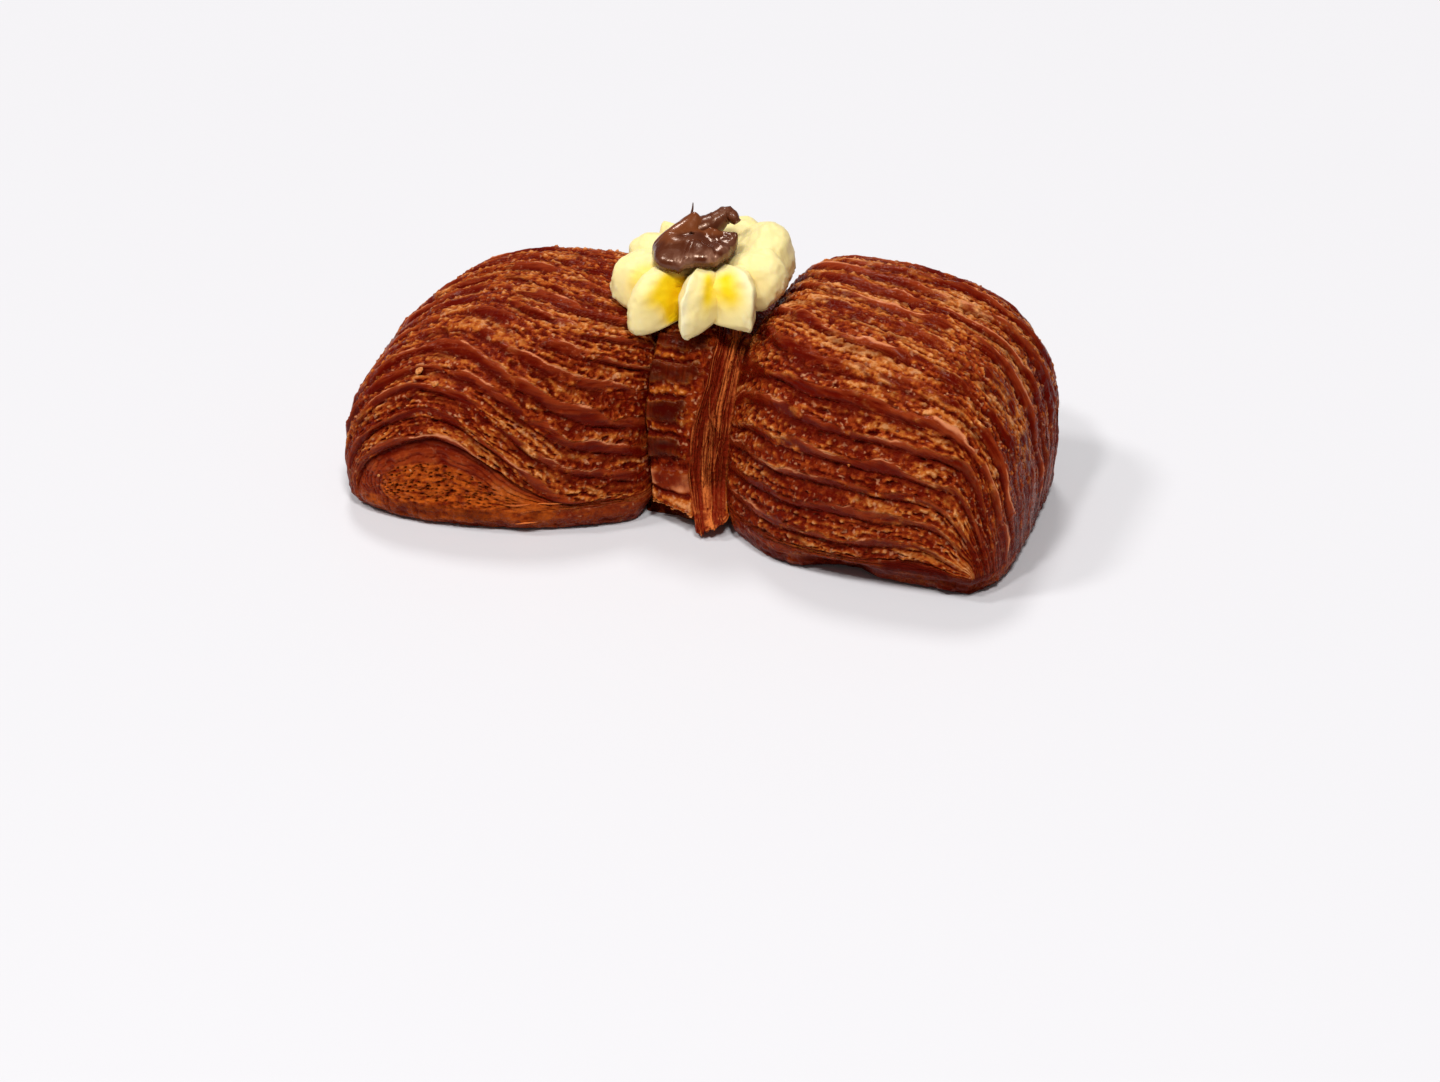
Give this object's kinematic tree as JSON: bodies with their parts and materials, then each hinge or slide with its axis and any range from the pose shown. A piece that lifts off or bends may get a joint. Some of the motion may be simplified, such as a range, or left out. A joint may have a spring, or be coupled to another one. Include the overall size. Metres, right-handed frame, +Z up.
{
  "type": "danish pastry",
  "caption": "Bow-shaped danish pastry of puffed, scored dough with a dough band tied round its waist, a piped cream rosette and a chocolate dollop on top.",
  "frame": {"origin": "on the ground under the middle of the whole pastry's bounding box", "axes": "+X along the bow to the taller wing, +Y to the back, +Z up"},
  "size_m": [0.1422, 0.0686, 0.0597],
  "materials": {
    "bow_dough": "baked crust, egg washed, satin",
    "knot_band": "baked crust with open layers at the cut edge",
    "cream_rosette": "whipped cream, soft matte",
    "chocolate_dollop": "soft chocolate, glossy"
  },
  "bodies": {
    "root": {"bow_dough": "bow_dough", "knot_band": "knot_band", "cream_rosette": "cream_rosette", "chocolate_dollop": "chocolate_dollop"}
  },
  "joints": []
}
